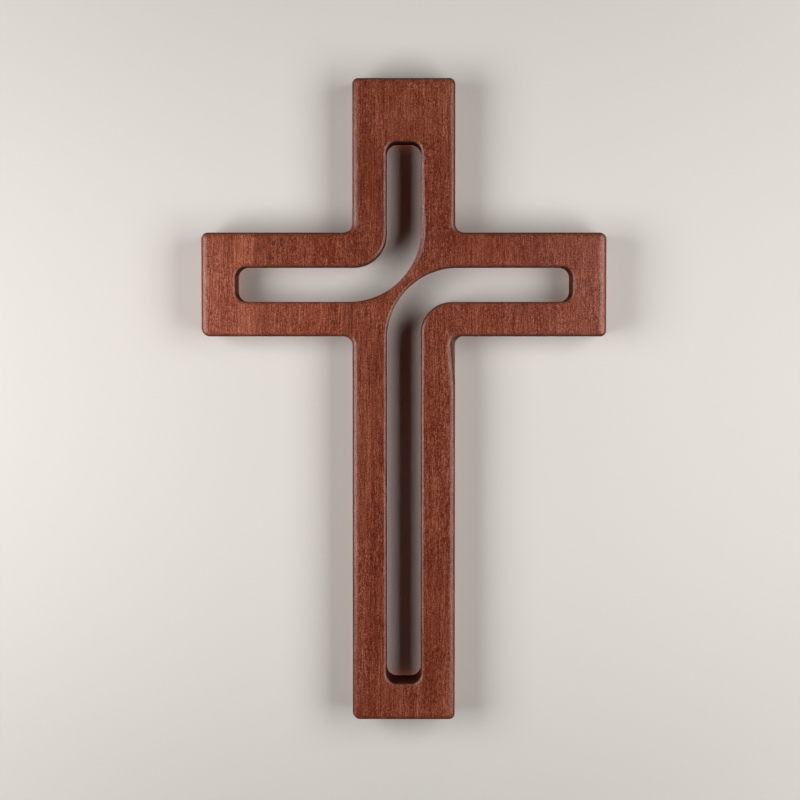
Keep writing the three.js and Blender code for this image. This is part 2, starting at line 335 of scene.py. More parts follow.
def cross_block(sizes, at):
    """The cross without its slots: the post, the arms pulled out of its sides, and its rounded outline."""
    side, end = at.post_side, at.arm_end
    piece = block("wooden_cross", (-side, at.front, at.bottom), (side, 0, at.top))
    edit(piece)
    for level in (arm_top, arm_under, at.sanded_from):
        cut(UP, level)
    for sign in (-1, 1):

        def arm_face(face):
            return face.normal.x * sign > SQUARE_TO and arm_under < face.calc_center_median().z < arm_top

        select_faces(piece, arm_face)
        extrude(x=sign * (end - side))
    sand_flat(piece, sizes, at)
    merge_flat_faces()
    least = sizes.edge_run + ON_PLACE
    for x, z, radius in (
        (-side, at.top, sizes.top_left), (side, at.top, sizes.top_right),
        (-side, at.bottom, sizes.foot_left), (side, at.bottom, sizes.foot_right),
        (-end, arm_top, sizes.left_arm_top), (-end, arm_under, sizes.left_arm_under),
        (end, arm_top, sizes.right_arm_top), (end, arm_under, sizes.right_arm_under),
    ):
        round_upright_edges(piece, x, z, max(radius, least))
    for x, z in ((-side, arm_top), (side, arm_top), (-side, arm_under)):
        round_upright_edges(piece, x, z, sizes.inner_corner)
    round_upright_edges(piece, side, arm_under, sizes.inner_corner, reach=sizes.sanded_depth)
    leave_edit()
    return piece


def sand_flat(piece, sizes, at):
    """Sands a flat on the lower post's right side: its deepest corner moves in, and its far corners stay."""
    side, front, sanded_from = at.post_side, at.front, at.sanded_from
    reach_line = front + sizes.sanded_reach
    select_faces(
        piece,
        lambda face: face.normal.x > SQUARE_TO and sanded_from < face.calc_center_median().z < arm_under,
    )
    bpy.ops.mesh.bisect(plane_co=(0, reach_line, 0), plane_no=(0, 1, 0))
    ends = (near(Vector((side, front, sanded_from))), near(Vector((side, reach_line, arm_under))))
    select_points(piece, lambda place: ends[0](place) or ends[1](place))
    bpy.ops.mesh.vert_connect_path()
    select_points(piece, near(Vector((side, front, arm_under))))
    move(x=-sizes.sanded_depth)


def slot_cutter(sizes, at, sign, reach, inner_bend):
    """The shape that cuts a slot: down the post and bent into an arm, or turned by half a turn."""
    overrun = 3 * MM
    half, middle = at.half_slot, arm_middle
    arm_reach = at.arm_end - sizes.end_wall
    z_ends = sorted((middle - sign * half, middle + sign * reach))
    piece = block("slot_cutter", (-half, at.front - overrun, z_ends[0]), (half, overrun, z_ends[1]))
    edit(piece)
    cut(UP, middle + sign * half)

    def towards_arm(face):
        return face.normal.x * sign < -SQUARE_TO and abs(face.calc_center_median().z - middle) < half

    select_faces(piece, towards_arm)
    extrude(x=-sign * (arm_reach - half))
    merge_flat_faces()
    round_upright_edges(piece, sign * half, middle - sign * half, at.outer_bend, OUTER_BEND_STEPS)
    round_upright_edges(piece, -sign * half, middle + sign * half, inner_bend, INNER_BEND_STEPS)
    for z in (middle - half, middle + half):
        round_upright_edges(piece, -sign * arm_reach, z, sizes.slot_end)
    for x in (-half, half):
        round_upright_edges(piece, x, middle + sign * reach, sizes.slot_end)
    leave_edit()
    return piece


def cut_away(piece, cutter):
    """Cuts one piece out of another, and removes the cutter."""
    apply_modifier(piece, "BOOLEAN", operation="DIFFERENCE", solver="EXACT", object=cutter)
    bpy.data.objects.remove(cutter)


def shift_group(piece, name, axis, strength):
    """Moves the points of a vertex group along an axis, each by its weight."""
    apply_modifier(piece, "DISPLACE", direction=axis, mid_level=0, strength=strength, vertex_group=name)


def widen_easing(piece, sizes, at, sign, wall, lower, upper, extra):
    """Draws the easing of one upright edge further over the face, and fades it round the corners at its ends.

    Each end is given by its height, its radius and whether the corner there is an inner one.
    """
    group = "wider easing"
    fade = piece.vertex_groups.new(name=group)
    reach = sizes.edge_run + ON_PLACE
    widest = max(lower[1], upper[1], sizes.edge_run) + ON_PLACE
    for point in piece.data.vertices:
        place = point.co
        below = (place.y - at.front) / sizes.edge_drop
        along_edge = lower[0] - reach < place.z < upper[0] + reach
        if below > 1 or not along_edge or abs(place.x - wall) > widest:
            continue
        weight = 1 - math.sqrt(1 - (1 - max(below, 0)) ** 2)
        for (height, radius, inner), direction in ((lower, -1), (upper, 1)):
            centre_z = height - direction * radius
            past = (place.z - centre_z) * direction
            if past > ON_PLACE:
                centre_x = wall + sign * radius if inner else wall - sign * radius
                across = sign * (centre_x - place.x) if inner else sign * (place.x - centre_x)
                weight *= max(across, 0) / math.hypot(across, past) if past < radius + sizes.edge_run else 0
        if weight > 0:
            fade.add([point.index], min(weight, 1), "REPLACE")
    shift_group(piece, group, "X", -sign * extra)
    piece.vertex_groups.clear()


def widen_bend(piece, sizes, at, run):
    """Draws the easing further over the face outside the upper slot's bend, as a gentle slope.

    It begins above the bend's centre, grows over a length, and fades out on the bend's last part.
    """
    begins_above, grows_over = 16 * MM, 22 * MM
    gone_at, fades_over = math.radians(80), math.radians(35)
    radius = at.outer_bend
    centre_x, centre_z = at.half_slot - radius, arm_middle - at.half_slot + radius
    across_name, down_name = "wider across", "wider down"
    across, down = [piece.vertex_groups.new(name=name) for name in (across_name, down_name)]
    for point in piece.data.vertices:
        place = point.co
        below = max((place.y - at.front) / sizes.slot_drop, 0)
        out_x, out_z = place.x - centre_x, centre_z - place.z
        turn = math.atan2(max(out_z, 0), out_x) if out_x > 0 else 0
        from_wall = (math.hypot(out_x, out_z) if out_z > 0 else out_x) - radius
        if below > 1 or out_x <= 0 or not -ON_PLACE < from_wall < run + ON_PLACE:
            continue
        start = min(max((out_z + begins_above) / grows_over, 0), 1)
        fade = min(max((gone_at - turn) / fades_over, 0), 1)
        weight = max(1 - below - max(from_wall, 0) / sizes.bend_run, 0) * start * fade
        if weight > 0:
            across.add([point.index], weight * math.cos(turn), "REPLACE")
            down.add([point.index], weight * math.sin(turn), "REPLACE")
    shift_group(piece, across_name, "X", sizes.bend_run)
    shift_group(piece, down_name, "Z", -sizes.bend_run)
    piece.vertex_groups.clear()


def cross_panel(sizes, at):
    """The whole panel with its slots, eased edges and sanded flat, before it is parted into staves."""
    piece = cross_block(sizes, at)
    edit(piece)
    ease_edges(piece, 0, sizes.back_edge, sizes.back_edge, BACK_STEPS)
    ease_edges(piece, at.front, sizes.edge_run, sizes.edge_drop, FRONT_STEPS)
    leave_edit()
    side, end, inner = at.post_side, at.arm_end, sizes.inner_corner
    flat_top = (at.sanded_from, FLAT_FADE, False)
    for sign, wall, lower, upper, extra in (
        (-1, -side, (arm_top, inner, True), (at.top, sizes.top_left, False), sizes.upper_left_extra),
        (-1, -side, (at.bottom, sizes.foot_left, False), (arm_under, inner, True), sizes.lower_left_extra),
        (1, side, (at.bottom, sizes.foot_right, False), flat_top, sizes.lower_right_extra),
        (-1, -end, (arm_under, sizes.left_arm_under, False), (arm_top, sizes.left_arm_top, False),
         sizes.left_end_extra),
        (1, end, (arm_under, sizes.right_arm_under, False), (arm_top, sizes.right_arm_top, False),
         sizes.right_end_extra),
    ):
        widen_easing(piece, sizes, at, sign, wall, lower, upper, extra)
    edit(piece)
    for line in glue_lines:
        cut(ACROSS, line)
    leave_edit()
    for sign, reach, inner_bend, run in (
        (1, at.top - sizes.top_block - arm_middle, sizes.upper_bend, sizes.upper_slot_run),
        (-1, arm_middle - at.bottom - sizes.foot, sizes.lower_bend, sizes.lower_slot_run),
    ):
        cut_away(piece, slot_cutter(sizes, at, sign, reach, inner_bend))
        edit(piece)
        ease_edges(piece, 0, sizes.back_edge, sizes.back_edge, BACK_STEPS, within=near_slots(at))
        ease_edges(piece, at.front, run, sizes.slot_drop, SLOT_STEPS, FLATTER, near_slots(at))
        leave_edit()
        if sign > 0:
            widen_bend(piece, sizes, at, run)
    mark_slot_walls(piece, at)
    return piece


def near_slots(at):
    """A test for points about the slots, well inside the outline of the cross."""
    reach = at.post_side - SLOT_MARGIN

    def passes(point):
        in_arms = abs(point.x) < at.arm_end - reach / 2
        in_post = at.bottom + reach / 2 < point.z < at.top - reach
        return in_arms and in_post and min(abs(point.x), abs(point.z - arm_middle)) < reach

    return passes


def mark_slot_walls(piece, at):
    """Gives the walls inside the slots the second material, which has no satin coat on it and is darkened as
    painted shade.
    """
    by_slots = near_slots(at)
    for _ in range(2):
        piece.data.materials.append(None)
    edit(piece)
    select_faces(
        piece, lambda face: abs(face.normal.y) < SLOT_WALL_TO and by_slots(face.calc_center_median())
    )
    piece.active_material_index = 1
    bpy.ops.object.material_slot_assign()
    leave_edit()


def copy_of(piece, name):
    """A copy with a mesh of its own."""
    copy = piece.copy()
    copy.data = piece.data.copy()
    copy.name = name
    copy.data.name = name
    bpy.context.collection.objects.link(copy)
    return copy


def keep_between(piece, left, right, low, high):
    """Keeps what lies between some planes, with the cuts closed. A plane that is None cuts nothing.

    The closing faces take the first material, because a neighbour's would differ from run to run.
    """
    edit(piece)
    piece.active_material_index = 0
    for axis, place, cleared in (
        (ACROSS, left, "clear_inner"), (UP, low, "clear_inner"),
        (ACROSS, right, "clear_outer"), (UP, high, "clear_outer"),
    ):
        if place is not None:
            cut(axis, place, use_fill=True, **{cleared: True})
            bpy.ops.object.material_slot_assign()
    leave_edit()


def smooth(piece, degrees):
    """Smooth shading on the rounded edges, with the flat faces kept flat."""
    pick(piece)
    bpy.ops.object.shade_smooth_by_angle(angle=math.radians(degrees))
    apply_modifier(piece, "WEIGHTED_NORMAL", keep_sharp=True)


def finish_piece(piece, materials, node):
    """Gives a piece its materials and its body, and hides the CAD node that it stands for."""
    while len(piece.data.materials) < len(materials):
        piece.data.materials.append(None)
    for index, material in enumerate(materials):
        piece.data.materials[index] = material
    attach(piece, BODY)
    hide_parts(node)


class CROSS_OT_staves(bpy.types.Operator):
    """Build the seven stained staves that the cross is glued up from"""

    bl_idname = "cross.staves"
    bl_label = "Wooden Staves"

    def execute(self, context):
        sizes = context.scene.cross_sizes
        at = places(sizes)
        panel = cross_panel(sizes, at)
        grain = grain_group()
        first, second, third, fourth = glue_lines
        for name, node, left, right, low, high in (
            ("left_end", "left_end_stave", None, first, None, None),
            ("left_upper", "left_upper_rail", first, second, arm_middle, None),
            ("left_lower", "left_lower_rail", first, second, None, arm_middle),
            ("post", "post_stave", second, third, None, None),
            ("right_upper", "right_upper_rail", third, fourth, arm_middle, None),
            ("right_lower", "right_lower_rail", third, fourth, None, arm_middle),
            ("right_end", "right_end_stave", fourth, None, None, None),
        ):
            stave = copy_of(panel, "wood_" + name)
            keep_between(stave, left, right, low, high)
            smooth(stave, WOOD_SMOOTH)
            surface = wood_material(name, grain, BOARDS[name], COATED)
            # The slot walls' material is darkened as painted shade
            wall = wood_material(name + " slot wall", grain, BOARDS[name], BARE_AND_SHADED)
            finish_piece(stave, (surface, wall), node)
        bpy.data.objects.remove(panel)
        return {"FINISHED"}


def bevel_bends(piece, x, y, turn, radius, segments):
    """Rounds two bends of the strip: the one at a place, seen from above, and its mirror image."""
    spots = [(sign * x, y) for sign in (-1, 1)]
    select_edges(
        piece,
        lambda edge: any(
            all(math.hypot(p.co.x - x, p.co.y - y) < ON_PLACE for p in edge.verts) for x, y in spots
        ),
    )
    bevel(radius * math.tan(turn / 2), segments)


def rod(sides, radius, depth, x, y):
    """A cylinder along Y at the height of the nails."""
    bpy.ops.object.select_all(action="DESELECT")
    bpy.ops.mesh.primitive_cylinder_add(
        vertices=sides, radius=radius, depth=depth, location=(x, y, nail_centre.z),
        rotation=(math.radians(90), 0, 0),
    )
    return bpy.context.object


def ease_sharp_edges(piece, width, degrees):
    """Eases the edges of a steel piece that turn by more than some degrees, and smooths its shading."""
    limit = math.radians(degrees)
    apply_modifier(piece, "BEVEL", width=width, segments=2, limit_method="ANGLE", angle_limit=limit)
    smooth(piece, STEEL_SMOOTH)


def hanger_strip(sizes):
    """A stamped strip, bowed off the wood in its middle, with a toothed lower edge and a hole at each end."""
    end, low, high = strip_high.x, strip_low.z, strip_high.z
    thickness, rise = sizes.thickness, strip_high.y - sizes.thickness
    turn = math.atan2(rise, sizes.bend_run)
    mitre = thickness * math.tan(turn / 2)
    foot = end - sizes.end_length
    raised = foot - sizes.bend_run
    piece = block("hanger_strip", (-end, 0, low), (-foot, thickness, high))
    edit(piece)
    select_points(piece, lambda place: place.x > -foot - ON_PLACE and place.y > thickness - ON_PLACE)
    move(x=-mitre)
    # An end face, upright or slanted, has at least this share of its normal on X
    end_face = 0.2
    for start, run, climb, shift, upper in (
        (-foot, sizes.bend_run, rise, 0, 0), (-raised, 2 * raised, 0, 2 * mitre, thickness + rise),
        (raised, sizes.bend_run, -rise, 0, 0), (foot, sizes.end_length, 0, -mitre, thickness),
    ):
        select_faces(
            piece,
            lambda face: face.normal.x > end_face and max(p.co.x for p in face.verts) > start - ON_PLACE,
        )
        extrude(x=run, y=climb)
        if shift:
            before_end = start + run - 3 * mitre - ON_PLACE
            select_points(piece, lambda place: place.x > before_end and place.y > upper - ON_PLACE)
            move(x=shift)
    pitch, half_notch = sizes.tooth_pitch, (sizes.tooth_pitch - sizes.tooth_land) / 2
    each_side = int(raised / pitch - 1 / 2)
    notches = [i * pitch for i in range(-each_side, each_side + 1)]
    for x in notches:
        for line in (x - half_notch, x, x + half_notch):
            cut(ACROSS, line)
    select_points(
        piece, lambda place: place.z < low + ON_PLACE and any(abs(place.x - x) < ON_PLACE for x in notches)
    )
    move(z=sizes.notch_depth)
    inside, outside = sizes.bend_radius, sizes.bend_radius + thickness
    for x, y, radius, segments in (
        (foot, 0, outside, 5), (raised, rise, inside, 4),
        (foot + mitre, thickness, inside, 4), (raised + mitre, rise + thickness, outside, 5),
    ):
        bevel_bends(piece, x, y, turn, radius, segments)
    for x in (-end, end):
        for z in (low, high):
            round_upright_edges(piece, x, z, sizes.corner, 8)
    leave_edit()
    drill_length = 6 * thickness
    for x in (-nail_centre.x, nail_centre.x):
        cut_away(piece, rod(HOLE_SIDES, sizes.hole / 2, drill_length, x, 0))
    ease_sharp_edges(piece, sizes.burr, 40)
    return piece


def nail(sizes):
    """A round-headed nail along Y: its point in the wood, and its head's flat underside on the strip."""
    x, z = nail_centre.x, nail_centre.z
    shaft, head = sizes.shaft / 2, (nail_high.x - nail_low.x) / 2
    seat, shoulder = sizes.thickness, nail_low.y + sizes.point
    blunt, crown, steps, rim = 0.02, 0.04, 9, 0.06 * MM
    piece = rod(NAIL_SIDES, shaft, seat - shoulder, x, (seat + shoulder) / 2)
    bpy.ops.object.transform_apply(location=True, rotation=True, scale=True)
    edit(piece)
    select_faces(piece, lambda face: face.normal.y < -SQUARE_TO)
    extrude(y=-sizes.point)
    stretch((blunt, 1, blunt), (x, 0, z))
    select_faces(piece, lambda face: face.normal.y > SQUARE_TO)
    extrude()
    stretch((head / shaft, 1, head / shaft), (x, seat, z))
    extrude(y=sizes.head_edge)
    dome = nail_high.y - seat - sizes.head_edge
    radius, height = 1.0, 0.0
    for i in range(1, steps + 1):
        reach = math.radians(90) * i / steps
        new_radius = max(math.cos(reach), crown)
        new_height = dome * math.sin(reach)
        extrude(y=new_height - height)
        stretch((new_radius / radius, 1, new_radius / radius), (x, 0, z))
        radius, height = new_radius, new_height
    leave_edit()
    ease_sharp_edges(piece, rim, 50)
    return piece


class CROSS_OT_hanger(bpy.types.Operator):
    """Build the toothed steel hanger and the two nails that hold it on the back"""

    bl_idname = "cross.hanger"
    bl_label = "Toothed Hanger"

    def execute(self, context):
        sizes = context.scene.hanger_sizes
        brushed = brushed_group()
        strip = hanger_strip(sizes)
        zinc = steel_material("zinc strip", brushed, (0.15, 14), 0.55)
        finish_piece(strip, (zinc,), "sawtooth_hanger")
        right = nail(sizes)
        right.name = "nail_right"
        left = copy_of(right, "nail_left")
        edit(left)
        select_all()
        move(x=-2 * nail_centre.x)
        leave_edit()
        bright = steel_material("nail steel", brushed, (0.2, 1.4), 0.3)
        finish_piece(right, (bright,), "hanger_nail_right")
        finish_piece(left, (bright,), "hanger_nail_left")
        return {"FINISHED"}


class Bench:
    """Adds shader nodes to a tree and links them, left to right."""

    def __init__(self, tree):
        self.nodes = tree.nodes
        self.links = tree.links

    def put(self, socket, value):
        """Links an output to an input, or sets the input's own value."""
        if isinstance(value, bpy.types.NodeSocket):
            self.links.new(value, socket)
        else:
            socket.default_value = value

    def fill(self, node, *values):
        """Puts values into a node's inputs in their order, and gives its first output."""
        for socket, value in zip(node.inputs, values):
            self.put(socket, value)
        return node.outputs[0]

    def add(self, kind, settings=None, **inputs):
        node = self.nodes.new(kind)
        for key, value in (settings or {}).items():
            setattr(node, key, value)
        for key, value in inputs.items():
            self.put(node.inputs[key.replace("_", " ")], value)
        return node

    def maths(self, operation, first, second=0.0, third=0.0):
        return self.fill(self.add("ShaderNodeMath", {"operation": operation}), first, second, third)

    def times(self, first, second):
        return self.maths("MULTIPLY", first, second)

    def vector(self, operation, *values):
        return self.fill(self.add("ShaderNodeVectorMath", {"operation": operation}), *values)

    def weighted(self, *pairs):
        """The sum of some values, each times its share."""
        total = self.times(*pairs[0])
        for value, share in pairs[1:]:
            total = self.maths("MULTIPLY_ADD", value, share, total)
        return total

    def blend(self, amount, first, second):
        """A mix of two colours."""
        node = self.add("ShaderNodeMix", {"data_type": "RGBA"})
        for index, value in ((0, amount), (6, first), (7, second)):
            self.put(node.inputs[index], (*value, 1) if isinstance(value, tuple) else value)
        return node.outputs[2]

    def noise(self, place, across, along, detail, roughness=0.55):
        """Noise with cells of a width across the fibres and a length along them, in millimetres."""
        turns = (1 / (across * MM), 1 / (across * MM), 1 / (along * MM))
        mapping = self.add("ShaderNodeMapping", Vector=place, Scale=turns)
        return self.add(
            "ShaderNodeTexNoise", Vector=mapping.outputs[0], Scale=1.0, Detail=detail, Roughness=roughness
        ).outputs["Fac"]

    def mark(self, spot, x, z, half_width, half_height):
        """1 inside a small upright ellipse on the face, and 0 beyond it."""
        across = self.maths("DIVIDE", self.maths("SUBTRACT", spot["X"], x), half_width)
        along = self.maths("DIVIDE", self.maths("SUBTRACT", spot["Z"], z), half_height)
        squared = self.maths("MULTIPLY_ADD", across, across, self.times(along, along))
        return self.spread(squared, 0.4, 1.3, 1, 0)

    def spread(self, value, low, high, to_low=0.0, to_high=1.0):
        """Leads the span from low to high smoothly over to another span, and holds its ends beyond it."""
        node = self.add("ShaderNodeMapRange", {"interpolation_type": "SMOOTHSTEP"})
        return self.fill(node, value, low, high, to_low, to_high)


def new_group(name, vectors, numbers=()):
    """A node group with vectors and numbers as inputs, and a colour, a roughness and a height as outputs."""
    group = bpy.data.node_groups.new(name, "ShaderNodeTree")
    for in_out, titles, kind in (
        ("INPUT", vectors, "Vector"), ("INPUT", numbers, "Float"),
        ("OUTPUT", ("Color",), "Color"), ("OUTPUT", ("Roughness", "Height"), "Float"),
    ):
        for title in titles:
            group.interface.new_socket(title, in_out=in_out, socket_type="NodeSocket" + kind)
    return group


def grain_group():
    """Upright wood grain: wandering fibres, flecks, slow bands, lighter outer edges that are part wear and
    part painted highlight, dark end grain that is partly painted shade, painted shade on the steep part of
    the eased edges, and painted light towards the ends.

    The pattern that it sums up is 0 on average, and the stain's shade is looked up by it.
    """
    group = new_group("upright grain", ("Place", "Cut"), ("Tone", "Gain", "Left wear", "Right wear", "Matt"))
    bench = Bench(group)
    given = bench.add("NodeGroupInput").outputs
    place = bench.vector("ADD", given["Place"], given["Cut"])
    mapping = bench.add("ShaderNodeMapping", Vector=place, Scale=(30, 30, 14))
    sway = bench.add("ShaderNodeTexNoise", Vector=mapping.outputs[0], Scale=1.0, Detail=1.0)
    centred = bench.vector("SUBTRACT", sway.outputs["Color"], (0.5, 0.5, 0.5))
    bent = bench.vector("MULTIPLY_ADD", centred, (2.2 * MM, 2.2 * MM, 0), place)

    parts = {}
    for name, (across, along, detail, share) in GRAIN.items():
        parts[name] = bench.noise(place if name == "blotches" else bent, across, along, detail)
    shares = [share for across, along, detail, share in GRAIN.values()]
    pattern = bench.maths("SUBTRACT", bench.weighted(*zip(parts.values(), shares)), sum(shares) / 2)
    dashes = parts["dashes"]
    spot = bench.add("ShaderNodeSeparateXYZ", Vector=given["Place"]).outputs
    from_middle = bench.maths("ABSOLUTE", bench.maths("SUBTRACT", spot["Z"], (cad_low.z + cad_high.z) / 2))
    # Painted light: the top and the foot are made paler, in place of lamp light that falls off towards them.
    painted_light_ends = bench.spread(from_middle, 116 * MM, 136 * MM, 0, 0.8)
    darker_top = bench.spread(spot["Z"], -75 * MM, -50 * MM, 0, -0.6)
    paler_top = bench.spread(spot["Z"], -22 * MM, -8 * MM, 0, 0.6)
    on_front = bench.spread(spot["Y"], cad_low.y + 3 * MM, cad_low.y + 2 * MM)
    slow = given["Tone"]
    for tone in (painted_light_ends, darker_top, paler_top):
        slow = bench.maths("ADD", slow, tone)
    for x, z, wide, tall, tone in BLEMISHES:
        mark = bench.times(bench.mark(spot, x * MM, z * MM, wide * MM, tall * MM), tone)
        slow = bench.maths("ADD", slow, bench.times(mark, on_front))
    toned = bench.maths("ADD", pattern, slow)
    lowest, span = STAIN[0][0], STAIN[-1][0] - STAIN[0][0]
    ramp = bench.add("ShaderNodeValToRGB", Fac=bench.maths("MULTIPLY_ADD", toned, 1 / span, -lowest / span))
    stops = ramp.color_ramp.elements
    for element, (value, shade) in zip(stops, (STAIN[0], STAIN[-1])):
        element.position = (value - lowest) / span
        element.color = (*shade, 1)
    for value, shade in STAIN[1:-1]:
        stops.new((value - lowest) / span).color = (*shade, 1)

    facing = bench.add("ShaderNodeTexCoord").outputs["Normal"]
    normal = bench.add("ShaderNodeSeparateXYZ", Vector=facing).outputs
    outward = bench.times(normal["X"], bench.maths("SIGN", spot["X"]))
    # Wear and painted highlight: where the eased outer edges turn towards the lamps, they are made lighter
    # and redder. This is partly real wear and partly a painted highlight.
    turning = bench.times(bench.spread(outward, 0.10, 0.34), bench.spread(outward, 0.75, 0.50))
    on_left = bench.maths("LESS_THAN", spot["X"], 0)
    left_wear_and_highlight = bench.times(on_left, given["Left wear"])
    right_wear_and_highlight = bench.times(bench.maths("SUBTRACT", 1, on_left), given["Right wear"])
    wear = bench.times(turning, bench.maths("ADD", left_wear_and_highlight, right_wear_and_highlight))
    rubbed_and_highlight = bench.times(wear, bench.spread(dashes, 0.2, 0.6, 0.5, 1.2))
    gained = bench.add("ShaderNodeVectorMath", {"operation": "SCALE"}, Scale=given["Gain"])
    # Lighter, redder stain for the wear and the painted highlight
    worn_and_highlit = bench.blend(rubbed_and_highlight, bench.fill(gained, ramp.outputs["Color"]), (0.50, 0.13, 0.06))
    # Painted shade: the steep part of the eased edges, which turns away from the lamps, is darkened towards
    # near-black. The end grain is darkened the same way, partly because it takes the stain darker and partly
    # as painted shade.
    end_grain = bench.spread(bench.maths("ABSOLUTE", normal["Z"]), 0.15, 0.8)
    sideways = bench.maths("ABSOLUTE", normal["X"])
    steep_edge_shade = bench.times(bench.spread(sideways, 0.50, 0.75), bench.spread(sideways, 0.995, 0.96))
    end_grain_and_edge_shade = bench.maths("MAXIMUM", bench.times(end_grain, 0.8), bench.times(steep_edge_shade, 0.55))
    # Near-black of the dark end grain and of the painted shade
    ended = bench.blend(end_grain_and_edge_shade, worn_and_highlit, (0.035, 0.005, 0.002))

    ridges = bench.weighted((parts["flecks"], 0.35), (dashes, 0.6), (parts["strands"], 0.3))
    outer_wall = bench.spread(sideways, 0.85, 0.98, 0, 0.5)
    rough_cut = bench.times(bench.maths("MAXIMUM", end_grain, outer_wall), 0.45)
    satin = bench.maths("ADD", bench.spread(dashes, 0.35, 0.65, 0.36, 0.28), rough_cut)
    roughness = bench.maths("MAXIMUM", satin, given["Matt"])
    bench.add("NodeGroupOutput", Color=ended, Roughness=roughness, Height=ridges)
    return group


# The parts of the grain: width and length in millimetres, detail, and share in the pattern
GRAIN = dict(
    flecks=(0.41, 0.62, 0, 12.6), dashes=(0.34, 2.8, 0, 6.4), fibres=(0.38, 6, 0, 4.8),
    strands=(0.52, 22, 0, 4.8), bands=(5, 160, 1, 3.6), blotches=(9, 22, 2, 3.3),
)
# The stain's shade for a value of the pattern
STAIN = (
    (-6, (0.055, 0.003, 0.0006)), (-2.5, (0.108, 0.0125, 0.0022)), (-1, (0.150, 0.0245, 0.0083)),
    (0, (0.1815, 0.036, 0.0155)), (2, (0.246, 0.064, 0.033)), (5, (0.362, 0.116, 0.069)),
    (10, (0.56, 0.22, 0.15)),
)
# Small marks on the foot's front: place, half width and half height in millimetres, and tone
BLEMISHES = ((10.6, -269.9, 0.22, 1.3, -4.5), (6.4, -279.5, 0.25, 5.5, 1.8), (7.2, -267.3, 1.6, 1.1, 1.5))


def patterned_material(name, group, depth, strength, **inputs):
    """A material that takes its colour, roughness and bump from a node group, and its shader."""
    material = bpy.data.materials.new(name)
    material.use_nodes = True
    bench = Bench(material.node_tree)
    shader = bench.nodes["Principled BSDF"]
    place = bench.add("ShaderNodeTexCoord").outputs["Object"]
    pattern = bench.add("ShaderNodeGroup", {"node_tree": group}, Place=place, **inputs).outputs
    bump = bench.add("ShaderNodeBump", Height=pattern["Height"], Distance=depth, Strength=strength)
    for title, output in (
        ("Base Color", pattern["Color"]), ("Roughness", pattern["Roughness"]), ("Normal", bump.outputs[0]),
    ):
        bench.put(shader.inputs[title], output)
    return material, shader


def wood_material(name, grain, board, coat):
    """Stained wood for one board, with its own cut out of the grain, coated, or bare and darkened as painted
    shade.
    """
    tone, gain, (left_wear_and_highlight, right_wear_and_highlight), cut_out = board
    coat_and_shade_gain, matt, specular = coat
    material, shader = patterned_material(
        "stained wood " + name, grain, 0.06 * MM, 0.8, Cut=cut_out, Tone=tone, Gain=gain * coat_and_shade_gain,
        Left_wear=left_wear_and_highlight, Right_wear=right_wear_and_highlight, Matt=matt,
    )
    shader.inputs["Specular IOR Level"].default_value = specular
    return material


# What a satin coat and a bare slot wall make of the stain: gain, least roughness and specular level; the bare
# walls' lower gain is painted shade in the slots
COATED, BARE_AND_SHADED = (1, 0, 0.45), (0.55, 0.8, 0.1)
# Where each blank is cut out of the grain
LEFT_END, LEFT, MIDDLE = (0.31, 0.12, 0.05), (0.17, 0.33, 0.21), (0.0, 0.0, 0.0)
RIGHT, RIGHT_END = (0.53, 0.21, 0.37), (0.71, 0.45, 0.13)
# The boards: tone, gain, wear and painted highlight on the left and right edges, and cut
BOARDS = dict(
    left_end=(0.9, 1.33, (0.3, 0.3), LEFT_END), left_upper=(0.2, 1.10, (0, 0), LEFT),
    left_lower=(0.6, 1.20, (0, 0), LEFT), post=(0.0, 1.0, (0.15, 0.08), MIDDLE),
    right_upper=(0.2, 1.07, (0, 0), RIGHT), right_lower=(0.2, 1.07, (0, 0), RIGHT),
    right_end=(0.4, 1.12, (0.3, 0.3), RIGHT_END),
)


def brushed_group():
    """Brushed zinc-plated steel: streaks, cloudy plating and fine spots."""
    group = new_group("brushed plating", ("Place", "Streaks"))
    bench = Bench(group)
    given = bench.add("NodeGroupInput").outputs
    stretched = bench.vector("MULTIPLY", given["Place"], given["Streaks"])
    streaked = bench.add("ShaderNodeTexNoise", Vector=stretched, Scale=1.0, Detail=3.0, Roughness=0.6)
    streaks = streaked.outputs["Fac"]
    clouds = bench.noise(given["Place"], 2.5, 2.5, 3, 0.6)
    spots = bench.spread(bench.noise(given["Place"], 0.35, 0.35, 1, 0.5), 0.66, 0.74)
    grey = bench.blend(streaks, (0.42, 0.43, 0.45), (0.74, 0.75, 0.76))
    tinted = bench.blend(bench.spread(clouds, 0.4, 0.7, 0, 0.35), grey, (0.66, 0.62, 0.56))
    spotted = bench.blend(bench.times(spots, 0.5), tinted, (0.30, 0.28, 0.27))
    dull = bench.maths("ADD", bench.weighted((streaks, 0.22), (clouds, 0.20), (spots, 0.15)), 0.12)
    height = bench.maths("SUBTRACT", streaks, spots)
    bench.add("NodeGroupOutput", Color=spotted, Roughness=dull, Height=height)
    return group


def steel_material(name, brushed, streak, strength):
    """Zinc-plated steel whose streaks are so many millimetres across and along the strip."""
    across, along = (1 / (size * MM) for size in streak)
    material, shader = patterned_material(
        name, brushed, 0.02 * MM, strength, Streaks=(along, across, across)
    )
    shader.inputs["Metallic"].default_value = 1
    return material


class CROSS_OT_stage(bpy.types.Operator):
    """Set up the pale wall, the soft lamps and the camera"""

    bl_idname = "cross.stage"
    bl_label = "Stage"

    def execute(self, context):
        stage = context.scene.cross_stage
        context.scene.view_settings.view_transform = "Standard"
        make_wall(stage)
        make_lamps(stage)
        make_world(context.scene, stage)
        make_camera(stage)
        return {"FINISHED"}


